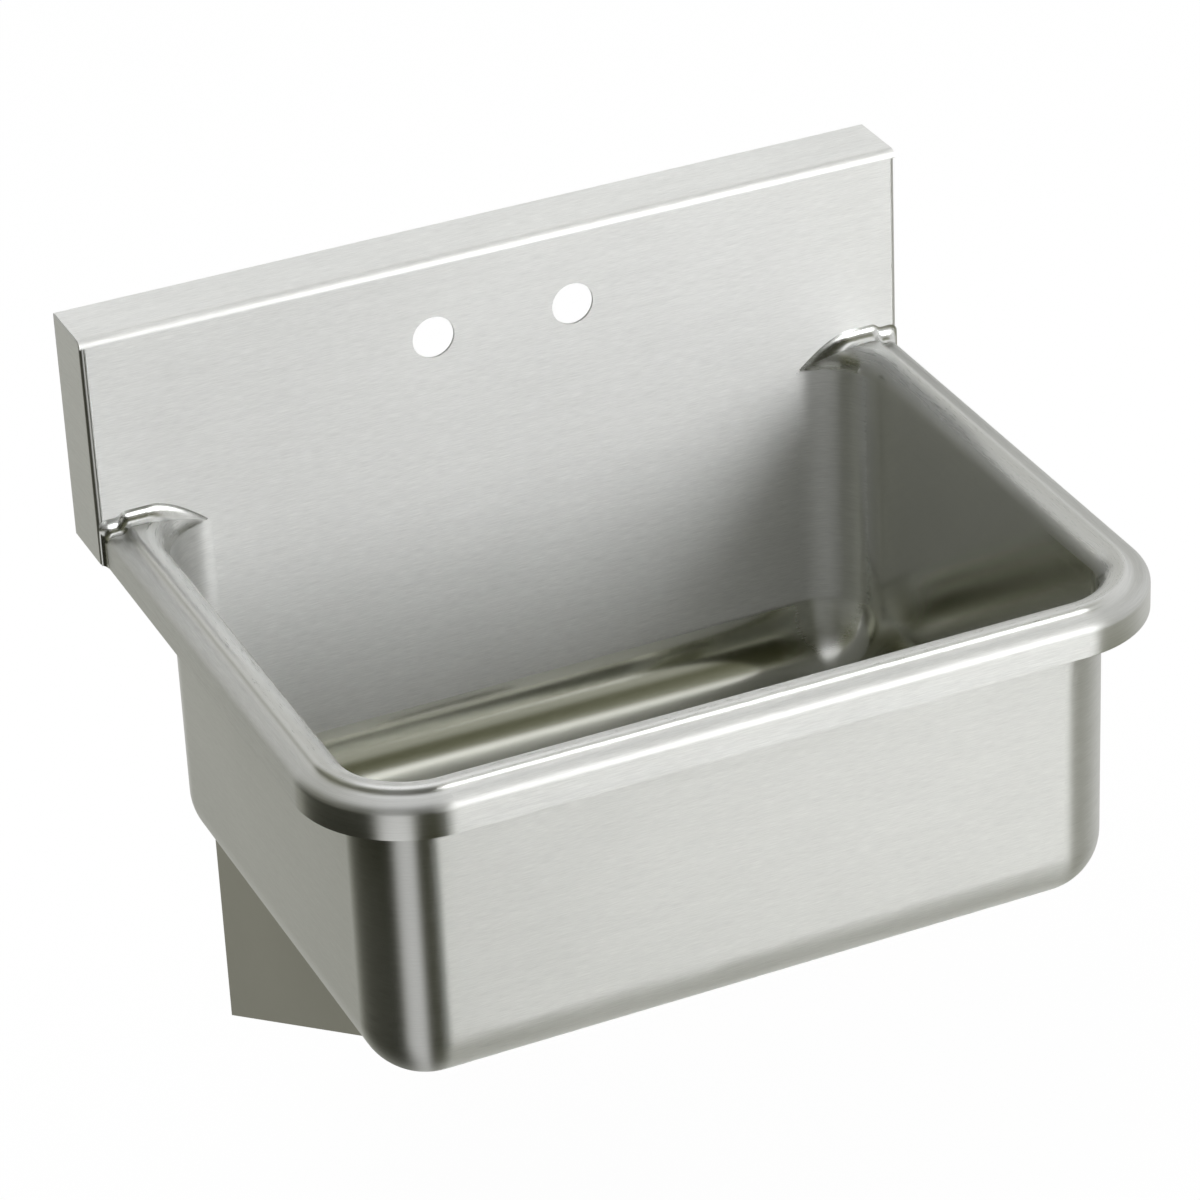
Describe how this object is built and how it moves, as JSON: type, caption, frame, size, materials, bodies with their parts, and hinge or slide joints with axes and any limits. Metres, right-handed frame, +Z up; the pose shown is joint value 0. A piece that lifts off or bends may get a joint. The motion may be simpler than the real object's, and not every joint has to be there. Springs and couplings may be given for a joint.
{
  "type": "wall-mounted hand sink",
  "caption": "Deep coved wall-mounted hand sink with an ogee rim, a faucet backsplash hooked on a wall rail, side brackets and a lift-out basket strainer.",
  "frame": {"origin": "on the wall plane, at the middle of the wall rail's back face, behind the middle of the backsplash", "axes": "+X to the right seen from the front, +Y into the wall, +Z up"},
  "size_m": [0.59, 0.4989, 0.578],
  "materials": {
    "brushed_sheet": "brushed along the length of each face",
    "ground_weld": "ground and polished",
    "plain_sheet": "mill finish",
    "fasteners": "smooth",
    "polished_steel": "polished",
    "cast_nut": "die cast",
    "black_rubber": "matt",
    "fibre": "matt"
  },
  "bodies": {
    "sink": {"bowl": "brushed_sheet", "rim": "brushed_sheet", "cove_welds": "ground_weld", "backsplash": "brushed_sheet", "end_cap_left": "brushed_sheet", "end_cap_right": "brushed_sheet", "wall_rail": "plain_sheet", "rail_screws": "fasteners", "rail_washers": "fasteners", "bracket_left": "plain_sheet", "bracket_right": "plain_sheet", "bracket_screws": "fasteners", "bracket_wall_washers": "fasteners", "bowl_studs": "fasteners", "stud_washers": "fasteners", "stud_nuts": "fasteners", "strainer_body": "polished_steel", "strainer_gasket": "black_rubber", "friction_washer": "fibre", "strainer_locknut": "cast_nut"},
    "basket": {"strainer_basket": "polished_steel", "basket_post": "polished_steel", "basket_stopper": "black_rubber"}
  },
  "joints": [
    {"name": "basket_lift", "type": "slide", "parent": "sink", "child": "basket", "axis": [0, 0, 1], "range_m": [0, 0.075]}
  ]
}
